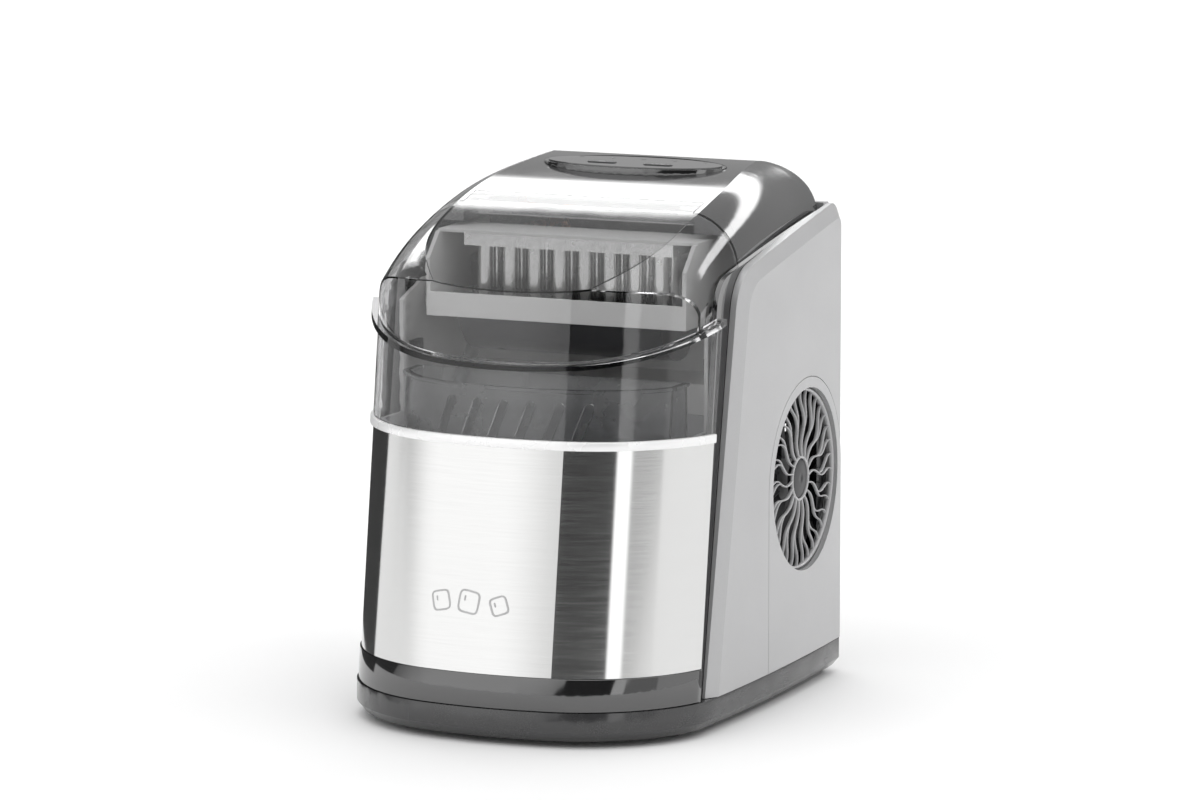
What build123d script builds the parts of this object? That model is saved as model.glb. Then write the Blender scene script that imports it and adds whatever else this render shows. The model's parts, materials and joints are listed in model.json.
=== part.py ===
from build123d import *
import os
from math import atan2, cos, degrees, hypot, radians, sin

# Countertop ice maker: a tank, basket, evaporator and compressor in a plastic body.
# Millimetres, +Z up, front towards -Y, origin on the floor under the middle of the body.

# ---- driving dimensions of the body ----
FRONT_Y = -142.0            # foremost line of the base, at its seam
BACK_Y = 140.0              # back edges of the side panels
SEAM_Z = 21.0               # top of the base pan
LEAN = 0.141                # the front leans back by this much for each millimetre of height
KICK_TOP_Z = 40.0
STEEL_TOP_Z = 168.5
TRIM_TOP_Z = 173.8
RIM_Z = 213.0               # lid rim at the middle of the front
RIM_SLOPE = 0.33            # the rim climbs by this much for each millimetre towards the back
RIM_Y = -117.0
CREST = (108.0, 310.0)      # side view (y, z) of the highest line
LID_SEAM = (11.0, 297.0)    # side view of the seam between lid and top cover
BROW = (-105.0, 258.5)      # side view of the lid's front brow
BODY_HALF = 101.2           # half width of lid and top cover
COVER_BACK_Y = 128.5        # rear face of the top cover
BACK_R = 18.0               # rounding of the top cover down to its back, in side view
REAR_CORNER_R = 10.0        # and of its two rear corners, in plan view
DECK_Z = 284.7              # flat deck behind the top cover
WALL = 2.2
GAP = 0.4                   # running gap between neighbouring covers

# ---- frames of the round-shouldered roof: y, half width of its flat top, drop of the shoulder ----
ROOF_FRAMES = [(-125.0, 38.0, 42.0), (-96.0, 53.0, 32.0), (-58.0, 72.0, 32.0), (-20.0, 76.0, 30.0),
               (11.0, 76.0, 30.0), (60.0, 72.0, 35.0), (108.0, 66.0, 42.0), (150.0, 62.0, 47.0)]
CREASE = 14.0               # angle in degrees at which a shoulder meets the flat top
RIDGE = 15.0                # the frames' peak over the flat top, which the arch then cuts off

# ---- steel, kick band and carrier: how far each lies inside the base's outline ----
KICK_INSET = 0.8
STEEL_INSET = 1.6
CARRIER_INSET = 2.7

# ---- plan view of the bowed front: a wide middle arc with a tighter arc at each corner ----
MIDDLE_R = 227.5
CORNER_R = 89.1
MIDDLE_ANGLE = 10.0
CORNER_ANGLE = 72.0

# ---- side panels ----
FRAME_IN_X = 101.6
FRAME_OUT_X = 104.6
PANEL_IN_X = 104.8
PANEL_BOW_X = 114.0         # widest point of the bowed side
PANEL_END_X = 111.0
PANEL_FRONT_R = 30.0        # rounding of the panels' upper corners, front and back
PANEL_BACK_R = 14.0
FRAME_FRONT_R = 22.0        # rounding of the black frames' upper front corners
BEVEL_WIDE = 8.5            # bevel round the side panels, across the bowed face
BEVEL_DEEP = 4.4            # and across the panel's edge
GRILLE_Y = 72.5
GRILLE_Z = 127.5
GRILLE_R = 54.0
SPOKES = 16

# ---- ice works ----
HINGE = (5.5, 291.2)        # side view of the lid's hinge axis
HINGE_R = 8.0               # the lid's tail turns inside this radius
PIN_R = 2.0
PIN_REACH = 7.0             # how far each hinge pin reaches into the cover's lug
TONGUE_HALF = 72.6          # half width of the lid's hinge tongue
SHOULDER_Y = -6.0           # rear edge of the lid's shoulders
TRAY_AXIS = (-4.0, 236.0)
TRAY_R = 30.0
TRAY_HALF = 62.0
PUSHER_AXIS = (34.0, 262.0)
PUSHER_REACH = 36.0
FINGER_PITCH = 16.0
FINGER_COUNT = 8
FINGER_R = 4.5
FINGER_TIP_Z = 222.0
MANIFOLD_Z = 268.0
BASKET_Z = (100.0, 200.0)
BASKET_INSET = 19.0
BASKET_BACK = -42.0

# ---- controls ----
PANEL_Y = 80.0              # centre of the oval control panel
PANEL_A = 57.5
PANEL_B = 25.5
PANEL_Z = 310.0
BUTTON_X = 18.0
BUTTON_Y = 72.0
LIGHT_PITCH = 20.0
LIGHT_Y = 93.0

# ---- cold works ----
FAN_X = (88.0, 100.0)
COMPRESSOR = (-34.0, 98.0, 36.0)   # x, y and radius
COMPRESSOR_TOP = 138.0
PUMP = (-76.0, -6.0)
TANK_BACK = 12.0            # outer face of the tank's rear wall
TANK_TOP = 172.0
SHELF_Z = 188.0             # floor of the compartment behind the tank


# ---------------------------------------------------------------- helpers
def block(x0, x1, y0, y1, z0, z1):
    """A box between two corners."""
    return Pos((x0 + x1) / 2, (y0 + y1) / 2, (z0 + z1) / 2) * Box(x1 - x0, y1 - y0, z1 - z0)


def rod(p, q, r):
    """A round bar from point p to point q."""
    start = Vector(*p)
    along = Vector(*q) - start
    plane = Plane(origin=start, z_dir=along)
    return Solid.extrude(Face(Wire([Edge.make_circle(r, plane)])), along)


def tube(p, q, r, bore):
    """A round tube from p to q."""
    return rod(p, q, r) - rod(p, q, bore)


def both_sides(shape):
    """The shape and its mirror image across the middle of the body."""
    return [shape, shape.mirror(Plane.YZ)]


def side_face(points):
    """A flat face in side view from (y, z) points."""
    return Face(Wire.make_polygon([Vector(0, y, z) for y, z in points], close=True))


def across(face, x0, x1):
    """A side-view face, pulled from x0 to x1."""
    return Solid.extrude(Pos(x0, 0, 0) * face, Vector(x1 - x0, 0, 0))


def join(shapes):
    """All shapes fused into one."""
    total = shapes[0]
    for shape in shapes[1:]:
        total = total + shape
    return total


def group(shapes):
    """Separate solids kept together in one node."""
    solids = []
    for shape in shapes:
        solids.extend(shape.solids())
    return Compound(children=solids)


# ---------------------------------------------------------------- body outlines
def arc_point(inset, facing, side=1):
    """A point of the bowed front's plan outline, by the direction that it faces."""
    a = radians(min(facing, MIDDLE_ANGLE))
    x = (MIDDLE_R - inset) * sin(a)
    y = FRONT_Y + MIDDLE_R - (MIDDLE_R - inset) * cos(a)
    if facing > MIDDLE_ANGLE:
        b = radians(facing)
        x += (CORNER_R - inset) * (sin(b) - sin(a))
        y += (CORNER_R - inset) * (cos(a) - cos(b))
    return Vector(side * x, y, 0)


def front_edges(inset):
    """The three arcs of the bowed front, from the left end to the right end."""
    half = (MIDDLE_ANGLE + CORNER_ANGLE) / 2
    left = ThreePointArc(arc_point(inset, CORNER_ANGLE, -1), arc_point(inset, half, -1),
                         arc_point(inset, MIDDLE_ANGLE, -1))
    middle = ThreePointArc(arc_point(inset, MIDDLE_ANGLE, -1), arc_point(inset, 0),
                           arc_point(inset, MIDDLE_ANGLE))
    right = ThreePointArc(arc_point(inset, MIDDLE_ANGLE), arc_point(inset, half),
                          arc_point(inset, CORNER_ANGLE))
    return [left, middle, right]


def corner_y(z, inset=0.0):
    """Where the bowed front ends at each side, at height z."""
    return arc_point(inset, CORNER_ANGLE).Y + LEAN * (z - SEAM_Z)


def front_prism(inset, z0, z1, back=None):
    """The leaning bowed front as a solid from z0 to z1, closed at its ends or at y = back."""
    end = arc_point(inset, CORNER_ANGLE)
    points = [end]
    if back is not None:
        points += [Vector(end.X, back, 0), Vector(-end.X, back, 0)]
    points.append(Vector(-end.X, end.Y, 0))
    lines = [Line(a, b) for a, b in zip(points, points[1:])]
    face = Face(Wire(front_edges(inset) + lines))
    start = Pos(0, LEAN * (z0 - SEAM_Z), z0) * face
    return Solid.extrude(start, Vector(0, LEAN * (z1 - z0), z1 - z0))


def front_shell(inset, thickness, z0, z1):
    """A thin wall that follows the bowed front."""
    return front_prism(inset, z0, z1) - front_prism(inset + thickness, z0 - 1, z1 + 1, back=60)


def below_rim(drop):
    """Everything under the sloping plane of the lid's rim."""
    y0, y1 = -200, 200
    z0 = RIM_Z + RIM_SLOPE * (y0 - RIM_Y) - drop
    z1 = RIM_Z + RIM_SLOPE * (y1 - RIM_Y) - drop
    return across(side_face([(y0, -50), (y1, -50), (y1, z1), (y0, z0)]), -150, 150)


def top_prism(drop, half, floor_z):
    """The space below the arched top, drop millimetres in from its surface."""
    low = Vector(0, BROW[0], BROW[1] - drop)
    high = Vector(0, CREST[0], CREST[1] - drop)
    arch = ThreePointArc(low, Vector(0, LID_SEAM[0], LID_SEAM[1] - drop), high)
    back_y = COVER_BACK_Y
    r = BACK_R - drop
    turn = Vector(0, back_y - BACK_R, CREST[1] - BACK_R)
    crest_end = turn + Vector(0, 0, r)
    round_end = turn + Vector(0, r, 0)
    bend = r * sin(radians(45))
    round_back = ThreePointArc(crest_end, turn + Vector(0, bend, bend), round_end)
    foot = Vector(0, round_end.Y, floor_z)
    nose = Vector(0, BROW[0] - 60, floor_z)
    head = Vector(0, BROW[0] - 60, BROW[1] - drop - 26)
    edges = [arch, Line(high, crest_end), round_back, Line(round_end, foot),
             Line(foot, nose), Line(nose, head), Line(head, low)]
    return across(Face(Wire(edges)), -half, half)


def arch_height(y):
    """Height of the arched top's outer surface at y, level behind its crest."""
    (y1, z1), (y2, z2), (y3, z3) = BROW, LID_SEAM, CREST
    a, b, c = y2 - y1, z2 - z1, (y2 ** 2 - y1 ** 2 + z2 ** 2 - z1 ** 2) / 2
    d, e, f = y3 - y1, z3 - z1, (y3 ** 2 - y1 ** 2 + z3 ** 2 - z1 ** 2) / 2
    middle_y = (c * e - b * f) / (a * e - b * d)
    middle_z = (a * f - c * d) / (a * e - b * d)
    radius = ((y1 - middle_y) ** 2 + (z1 - middle_z) ** 2) ** 0.5
    return middle_z + (radius ** 2 - (min(y, CREST[0]) - middle_y) ** 2) ** 0.5


def roof_frame(inset, y, flat, drop, floor_z):
    """Front view of the round-shouldered roof at y, as one closed wire."""
    half = BODY_HALF - inset
    top = arch_height(y) - inset
    edge = flat - inset / 2
    width = half - edge
    chord = degrees(atan2(drop, width))
    radius = hypot(width, drop) / 2 / sin(radians(chord - CREASE))
    middle_x = edge - radius * sin(radians(CREASE))
    middle_z = top - radius * cos(radians(CREASE))
    corner = []
    for turn in (2 * chord - CREASE, chord, 0):
        x = middle_x + radius * sin(radians(turn))
        z = middle_z + radius * cos(radians(turn))
        corner.append(Vector(x, y, z))
    mirror = [Vector(-p.X, p.Y, p.Z) for p in corner]
    peak = Vector(0, y, top + RIDGE)
    low_right = Vector(half, y, floor_z)
    low_left = Vector(-half, y, floor_z)
    return Wire([Line(low_left, low_right), Line(low_right, corner[0]), ThreePointArc(*corner),
                 Line(corner[2], peak), Line(peak, mirror[2]), ThreePointArc(*reversed(mirror)),
                 Line(mirror[0], low_left)])


def roof_loft(inset, floor_z):
    """The space under the roof's shoulders, lofted through its frames."""
    return Solid.make_loft([roof_frame(inset, y, flat, drop, floor_z) for y, flat, drop in ROOF_FRAMES])


def panel_face():
    """Side view of a side panel: leaning front edge, arched top and upright back."""
    front_low = Vector(0, -68, SEAM_Z + 0.3)
    front_high = Vector(0, -23.5, 260.5)
    top_mid = Vector(0, 56, 275.2)
    back_high = Vector(0, BACK_Y, 286.5)
    back_low = Vector(0, BACK_Y, SEAM_Z + 0.3)
    face = Face(Wire([Line(front_low, front_high), ThreePointArc(front_high, top_mid, back_high),
                      Line(back_high, back_low), Line(back_low, front_low)]))
    return face


def rounded_panel_face(inset):
    """The side panel's side view with round upper corners, inset all round but its bottom."""
    face = panel_face()
    face = face.fillet_2d(PANEL_BACK_R, [face.vertices().sort_by(Axis.Z)[-1]])
    front_corner = face.vertices().filter_by(lambda v: v.Y < 0).sort_by(Axis.Z)[-1]
    face = face.fillet_2d(PANEL_FRONT_R, [front_corner])
    if inset:
        face = Face(face.outer_wire().offset_2d(-inset))
    return face


def bow_prism(inset, z0, z1):
    """Everything inside the right side's bowed surface, from the middle plane outwards."""
    front = Vector(PANEL_END_X - 0.8 - inset, -80, 0)
    middle = Vector(PANEL_BOW_X - inset, 31, 0)
    back = Vector(PANEL_END_X - inset, BACK_Y + 2, 0)
    inner_back = Vector(0, BACK_Y + 2, 0)
    inner_front = Vector(0, -80, 0)
    face = Face(Wire([ThreePointArc(front, middle, back), Line(back, inner_back),
                      Line(inner_back, inner_front), Line(inner_front, front)]))
    return Solid.extrude(Pos(0, 0, z0) * face, Vector(0, 0, z1 - z0))


# ---------------------------------------------------------------- base and front
def base_outline(inset):
    """Plan outline of the base: the bowed front, the bowed sides and a straight back."""
    end = arc_point(inset, CORNER_ANGLE)
    tail = Vector(PANEL_END_X - inset, BACK_Y - inset, 0)
    middle = Vector(PANEL_BOW_X - inset, 31, 0)
    right = ThreePointArc(end, middle, tail)
    left = ThreePointArc(Vector(-tail.X, tail.Y, 0), Vector(-middle.X, middle.Y, 0), Vector(-end.X, end.Y, 0))
    back = Line(tail, Vector(-tail.X, tail.Y, 0))
    face = Face(Wire(front_edges(inset) + [right, back, left]))
    corners = face.vertices().sort_by(Axis.Y)[-2:]
    return face.fillet_2d(10 - inset, corners)


def base_pan():
    """The tray that carries everything, with a tucked-in lower edge."""
    foot_z, skirt_z = 4.0, 9.0
    low = Pos(0, 0, foot_z) * base_outline(4.0)
    high = Pos(0, 0, skirt_z) * base_outline(0)
    skirt = Solid.make_loft([low.outer_wire(), high.outer_wire()], ruled=True)
    wall = Solid.extrude(high, Vector(0, 0, SEAM_Z - skirt_z))
    hollow = Solid.extrude(Pos(0, 0, foot_z + 3.5) * base_outline(6.0), Vector(0, 0, 40))
    return skirt + wall - hollow


def trim_band():
    """The bright band between steel and window, standing proud of both."""
    return front_shell(-0.4, 3.6, STEEL_TOP_Z + 0.2, TRIM_TOP_Z)


def front_window():
    """The fixed smoked window, cut off on top by the lid's rim plane."""
    wall = front_shell(1.2, WALL, TRIM_TOP_Z + 0.2, 245)
    return wall & below_rim(0.5)


# ---------------------------------------------------------------- lid and top cover
def lid_space(inset):
    """The lid's outer form, or its hollow when inset."""
    body = front_prism(0.6 + inset, 190, 330, back=80)
    body = body & top_prism(inset, 120, 150)
    return body & roof_loft(inset, 120)


def lid_shell():
    """One thin shell: front wall, brow, shoulders, hinge tongue, and the rim's flange."""
    ends = block(-130, 130, -160, HINGE[0], 100, 400)
    shell = (lid_space(0) - lid_space(WALL)) & ends
    cheek = block(TONGUE_HALF, 130, SHOULDER_Y, 60, 100, 400)
    for cut in both_sides(cheek):
        shell = shell - cut
    shell = shell - below_rim(0)
    tail = rod((-TONGUE_HALF, *HINGE), (TONGUE_HALF, *HINGE), HINGE_R) & lid_space(0)
    shell = shell + tail + lid_rim()
    pin = rod((TONGUE_HALF - 12, *HINGE), (TONGUE_HALF + 5, *HINGE), PIN_R + 0.06)
    for cut in both_sides(pin):
        shell = shell - cut
    return shell


def lid_rim():
    """The flange that stands out along the lid's lower edge."""
    flange = front_prism(-3.0, 190, 260) - front_prism(0.6 + WALL, 180, 270, back=60)
    flange = flange - below_rim(0)
    return flange & below_rim(-3.6)


def hinge_pins():
    """Two short pins between the top cover's cheeks and the lid's barrel."""
    pin = rod((TONGUE_HALF - 11.5, *HINGE), (TONGUE_HALF + PIN_REACH, *HINGE), PIN_R)
    return group(both_sides(pin))


def cover_space(inset):
    """The top cover's outer form, or its hollow when inset."""
    half = BODY_HALF - inset
    plan = block(-half, half, -60, COVER_BACK_Y - inset, 100, 400)
    rear = plan.edges().filter_by(Axis.Z).sort_by(Axis.Y)[-2:]
    plan = fillet(rear, REAR_CORNER_R - inset)
    return top_prism(inset, 120, 150) & roof_loft(inset, 120) & plan


def top_cover():
    """The fixed rear half of the roof, notched for the lid's tongue and cut for the controls."""
    notch = TONGUE_HALF + GAP
    lug = block(notch, BODY_HALF - 1, SHOULDER_Y + GAP, 20, 280, 400) & cover_space(0)
    shell = cover_space(0) - cover_space(WALL)
    shell = shell & block(-130, 130, SHOULDER_Y + GAP, 200, 100, 400)
    shell = join([shell] + both_sides(lug))
    shell = shell - block(-notch, notch, -40, HINGE[0], 100, 400)
    shell = shell - rod((-notch, *HINGE), (notch, *HINGE), HINGE_R + GAP)
    low_edge = side_face([(-60, 50), (200, 50), (200, 279), (BACK_Y - 6, 278),
                          (58, 268.7), (-4, 257.5), (-60, 247)])
    shell = shell - across(low_edge, -130, 130)
    shell = shell - oval(0.4, PANEL_Z - 7, 40)
    seat = oval(2.4, PANEL_Z - 9.2, 2.2) - oval(-5, PANEL_Z - 20, 40)
    wall = (oval(2.4, PANEL_Z - 8, 20) - oval(0.4, PANEL_Z - 9, 30)) & cover_space(0.5)
    shell = shell + seat + wall
    shell = shell - join([light_bore(x) for x in light_places()])
    bore = rod((0, *HINGE), (TONGUE_HALF + PIN_REACH + 0.5, *HINGE), PIN_R)
    for cut in both_sides(bore):
        shell = shell - cut
    return shell


def oval(grow, z, height):
    """An upright oval block around the control panel's middle."""
    face = Face(Wire([Edge.make_ellipse(PANEL_A + grow, PANEL_B + grow)]))
    return Solid.extrude(Pos(0, PANEL_Y, z) * face, Vector(0, 0, height))


# ---------------------------------------------------------------- controls
def control_bezel():
    """The raised oval rim of the control panel."""
    ring = oval(0, PANEL_Z - 6.8, 5.6) - oval(-2.2, PANEL_Z - 3.2, 10)
    opening = oval(-5, PANEL_Z - 20, 40)
    return ring - opening - join([light_bore(x) for x in light_places()])


def control_face():
    """The glossy plate inside the rim, pierced for buttons and lights."""
    plate = oval(-2.3, PANEL_Z - 3.0, 2.6)
    for x in (-BUTTON_X, BUTTON_X):
        plate = plate - button_block(x, 0.35, PANEL_Z - 5, 10)
    return plate - join([light_bore(x) for x in light_places()])


def light_places():
    """The five indicator lights' places across the panel."""
    return [LIGHT_PITCH * (k - 2) for k in range(5)]


def light_bore(x):
    """The bore that one light pipe passes through."""
    return rod((x, LIGHT_Y, PANEL_Z - 15), (x, LIGHT_Y, PANEL_Z + 5), 1.3)


def button_block(x, grow, z, height):
    """A slim round-ended key."""
    face = Pos(x, BUTTON_Y, z) * SlotOverall(18 + 2 * grow, 5 + 2 * grow)
    return extrude(face, height)


def panel_button(x):
    """A key with a wider skirt under the plate and a stem down to its switch."""
    cap = button_block(x, 0, PANEL_Z - 3.6, 3.7)
    skirt = button_block(x, 1.2, PANEL_Z - 4.9, 1.4)
    stem = rod((x, BUTTON_Y, PANEL_Z - 8.0), (x, BUTTON_Y, PANEL_Z - 4.5), 1.4)
    return join([cap, skirt, stem])


def indicator_lenses():
    """Five light pipes flush with the plate, down to the board."""
    pipes = []
    for x in light_places():
        pipes.append(rod((x, LIGHT_Y, PANEL_Z - 9.4), (x, LIGHT_Y, PANEL_Z - 0.35), 1.25))
    return group(pipes)


def control_board():
    """Circuit board under the controls with its two tact switches and five lamps."""
    board = oval(-1.5, PANEL_Z - 12.8, 1.6)
    for x in (-56, 56):
        board = board + rod((x, PANEL_Y, PANEL_Z - 11.3), (x, PANEL_Y, PANEL_Z - 9.25), 1.5)
    for x in (-BUTTON_X, BUTTON_X):
        board = board + block(x - 3, x + 3, BUTTON_Y - 3, BUTTON_Y + 3, PANEL_Z - 11.3, PANEL_Z - 9.2)
    for x in light_places():
        board = board + block(x - 1.6, x + 1.6, LIGHT_Y - 1.6, LIGHT_Y + 1.6, PANEL_Z - 11.3, PANEL_Z - 9.6)
    return board


# ---------------------------------------------------------------- sides and back
def side_frame():
    """The black carrier between core and side panel: an open frame in side view."""
    top = corner_y(259)
    front_low = Vector(0, corner_y(SEAM_Z) + 0.3, SEAM_Z + 0.3)
    front_high = Vector(0, top + 0.3, 259)
    back_high = Vector(0, BACK_Y - 3, 284.0)
    back_low = Vector(0, BACK_Y - 3, SEAM_Z + 0.3)
    arch = ThreePointArc(front_high, Vector(0, 40, 272.0), back_high)
    back = Line(back_high, back_low)
    outline = Face(Wire([Line(front_low, front_high), arch, back, Line(back_low, front_low)]))
    outline = outline.fillet_2d(PANEL_BACK_R, [outline.vertices().sort_by(Axis.Z)[-1]])
    front_corner = outline.vertices().filter_by(lambda v: v.Y < 0).sort_by(Axis.Z)[-1]
    outline = outline.fillet_2d(FRAME_FRONT_R, [front_corner])
    plate = across(outline, FRAME_IN_X, FRAME_OUT_X)
    hole = across(Face(outline.outer_wire().offset_2d(-26)), FRAME_IN_X - 1, FRAME_OUT_X + 1)
    return plate - hole


def grille_hole(radius):
    """A round hole through the right side at the fan."""
    return rod((90, GRILLE_Y, GRILLE_Z), (130, GRILLE_Y, GRILLE_Z), radius)


def vent_outline(grow):
    """Round-topped block of the vent insert, reaching down to the base."""
    r = 61.0 + grow
    top = rod((90, GRILLE_Y, GRILLE_Z), (130, GRILLE_Y, GRILLE_Z), r)
    return top + block(90, 130, GRILLE_Y - r, GRILLE_Y + r, SEAM_Z - 5, GRILLE_Z)


def side_shell():
    """The right side panel's shell with bevelled edges, before its openings."""
    outer = across(rounded_panel_face(0), PANEL_IN_X, 130) & bow_prism(0, SEAM_Z, 320)
    bow = outer.faces().sort_by(Axis.X)[-1]
    edges = [e for e in bow.edges() if e.center().Z > SEAM_Z + 2]
    outer = outer.chamfer(BEVEL_WIDE, BEVEL_DEEP, edges, face=bow)
    hollow = across(rounded_panel_face(BEVEL_WIDE), PANEL_IN_X - 5, 130)
    hollow = hollow & bow_prism(2.4, SEAM_Z - 10, 320)
    return outer - hollow


def side_panel_right():
    """Right panel, open where the vent insert sits."""
    return side_shell() - vent_outline(0)


def side_panel_left():
    """Left panel with a field of slanted intake slots."""
    shell = side_shell()
    for row in range(9):
        z = GRILLE_Z + 14 * (row - 4)
        half = (54 ** 2 - (14 * (row - 4)) ** 2) ** 0.5 if abs(row - 4) < 4 else 26
        slot = block(100, 130, GRILLE_Y - half, GRILLE_Y + half, z - 2.6, z + 2.6)
        shell = shell - slot
    return shell.mirror(Plane.YZ)


def vent_insert():
    """The insert around the fan grille, with a stepped round recess."""
    body = vent_outline(-0.4) & across(rounded_panel_face(0), PANEL_IN_X, 130)
    body = body & bow_prism(0, SEAM_Z + 0.3, 300)
    body = body - (vent_outline(-4) & bow_prism(3.0, SEAM_Z - 10, 300))
    ledge = rod((PANEL_IN_X, GRILLE_Y, GRILLE_Z), (109.5, GRILLE_Y, GRILLE_Z), GRILLE_R + 4)
    body = body + (ledge & bow_prism(0.5, SEAM_Z, 300))
    return body - grille_hole(GRILLE_R + 0.3)


def spoke_point(r, swing):
    """A point of a wavy spoke in the grille's own plane."""
    bend = radians(11) * sin((r - 12) / (GRILLE_R - 14) * radians(300)) + radians(swing)
    return r * cos(bend), r * sin(bend)


def spoke_bar(r0, r1, swing0, swing1, width):
    """A wavy bar from radius r0 to r1 that drifts from one angle to another."""
    left, right = [], []
    steps = 6
    for k in range(steps + 1):
        t = k / steps
        r = r0 + (r1 - r0) * t
        y, z = spoke_point(r, swing0 + (swing1 - swing0) * t)
        y1, z1 = spoke_point(r + 0.5, swing0 + (swing1 - swing0) * t)
        along = Vector(y1 - y, z1 - z, 0).normalized()
        left.append((y - along.Y * width / 2, z + along.X * width / 2))
        right.append((y + along.Y * width / 2, z - along.X * width / 2))
    return across(side_face(left + right[::-1]), 106.0, 109.0)


def fan_grille():
    """A ring, a hub and wavy spokes that fork once on the way out."""
    ring = tube((104.9, 0, 0), (110.4, 0, 0), GRILLE_R, GRILLE_R - 2.2)
    hub = rod((105.0, 0, 0), (110.0, 0, 0), 12.5)
    fork_r = 31.0
    trunk = spoke_bar(12, fork_r + 1, 0, 0, 1.8)
    branch_a = spoke_bar(fork_r, GRILLE_R - 1, 0, 5.0, 1.5)
    branch_b = spoke_bar(fork_r, GRILLE_R - 1, 0, -5.5, 1.5)
    spoke = join([trunk, branch_a, branch_b])
    spokes = [spoke.rotate(Axis.X, 360 * k / SPOKES) for k in range(SPOKES)]
    whole = ring.fuse(hub, *[s for one in spokes for s in one.solids()])
    return Pos(0, GRILLE_Y, GRILLE_Z) * whole


def rear_cover():
    """The back wall with outlet louvres, a cord gland bore and a drain opening."""
    plate = block(-101.0, 101.0, BACK_Y - 5, BACK_Y - 2.5, SEAM_Z + 0.3, 276)
    plate = plate + block(-92, 92, BACK_Y - 4, BACK_Y + 0.6, SEAM_Z + 6, 250)
    plate = plate - block(-89.5, 89.5, BACK_Y - 6, BACK_Y - 1.6, SEAM_Z + 9, 247)
    for ledge in both_sides(block(76, 101, BACK_Y - 26, BACK_Y - 4, 272.3, 275.2)):
        plate = plate + ledge
    for row in range(11):
        z = 110 + 11 * row
        for x in (-74, 2):
            plate = plate - block(x, x + 72, BACK_Y - 10, BACK_Y + 10, z, z + 5)
    plate = plate - rod((-70, BACK_Y - 20, 50), (-70, BACK_Y + 20, 50), 8.0)
    plate = plate - rod((60, BACK_Y - 20, 36), (60, BACK_Y + 20, 36), 9.5)
    return plate


def rear_cap():
    """The flat deck behind the top cover, hollow from below."""
    outer = block(-101.0, 101.0, COVER_BACK_Y + GAP, BACK_Y - 0.5, 276.2, DECK_Z)
    outer = fillet(outer.edges().filter_by(Axis.X).sort_by(Axis.Z)[-2:].sort_by(Axis.Y)[-1], 5.0)
    return outer - block(-98.6, 98.6, COVER_BACK_Y + GAP + WALL, BACK_Y - 0.5 - WALL, 270, DECK_Z - WALL)


def cord_gland():
    """A bush with an open bore where a supply cord would enter."""
    body = tube((-70, BACK_Y - 8, 50), (-70, BACK_Y + 0.6, 50), 7.9, 3.6)
    flange = tube((-70, BACK_Y + 0.6, 50), (-70, BACK_Y + 2.0, 50), 11.0, 3.6)
    return body + flange


def drain_spout():
    """The short outlet pipe from the tank to the back wall."""
    pipe = tube((60, TANK_BACK + 0.05, 36), (60, BACK_Y - 8, 36), 7.0, 5.0)
    collar = tube((60, BACK_Y - 10, 36), (60, BACK_Y + 0.6, 36), 9.4, 6.06)
    return pipe + collar


def drain_plug():
    """A bung in the drain's mouth, with a grip."""
    plug = rod((60, BACK_Y - 7.8, 36), (60, BACK_Y + 0.6, 36), 6.0)
    cap = rod((60, BACK_Y + 0.65, 36), (60, BACK_Y + 1.3, 36), 8.5)
    grip = block(53, 67, BACK_Y + 1.2, BACK_Y + 2.0, 34.8, 37.2)
    return join([plug, rod((60, BACK_Y + 0.5, 36), (60, BACK_Y + 0.7, 36), 6.0), cap, grip])


# ---------------------------------------------------------------- wet and cold works
def front_carrier():
    """The black inner shell that steel panel, kick band and trim clip onto."""
    edge = FRAME_IN_X - 0.2
    return front_shell(CARRIER_INSET, 2.0, SEAM_Z + 0.2, STEEL_TOP_Z) & block(-edge, edge, -200, 0, 0, 300)


def water_tank():
    """The tub behind the front, open on top, with the drain's bore low in its rear wall."""
    limits = block(-97, 97, -160, TANK_BACK, 0, 400)
    outer = front_prism(6.0, 26, TANK_TOP, back=80) & limits
    inner = front_prism(8.5, 29, TANK_TOP + 8, back=80) & block(-94.5, 94.5, -160, TANK_BACK - 2.5, 0, 400)
    return outer - inner - rod((60, 0, 36), (60, 40, 36), 5.0)


def tank_foam():
    """Foam pad between base and tank, cut away over the base's screws and stems."""
    pad = front_prism(11, 7.6, 25.9, back=80) & block(-92, 92, -160, TANK_BACK - 2, 0, 60)
    for x, y in ((84, -74), (60, -100)):
        for cut in both_sides(rod((x, y, 0), (x, y, 18), 5)):
            pad = pad - cut
    return pad


def compartment_liner():
    """Light side walls, back wall and shelf of the ice compartment, standing on the tank."""
    low = TANK_TOP + 0.2
    cheek = side_face([(-44, low), (TANK_BACK, low), (TANK_BACK, SHELF_Z), (56, SHELF_Z), (56, 255),
                       (-20, 246), (-44, 238)])
    walls = both_sides(across(cheek, 95.0, 97.5))
    walls.append(block(-97.5, 97.5, 54, 56.5, SHELF_Z, 262))
    walls.append(block(-97.5, 97.5, TANK_BACK - 2.5, 56, SHELF_Z, SHELF_Z + 2.5))
    walls.append(block(-97.5, 97.5, TANK_BACK - 2.5, TANK_BACK, low, SHELF_Z + 1))
    return join(walls)


def ice_full_sensors():
    """A pair of infrared eyes facing each other across the basket's rim."""
    eye = block(91.5, 94.9, -36, -24, 204, 213) + rod((90.3, -30, 208.5), (91.6, -30, 208.5), 2.5)
    return group(both_sides(eye))


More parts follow.
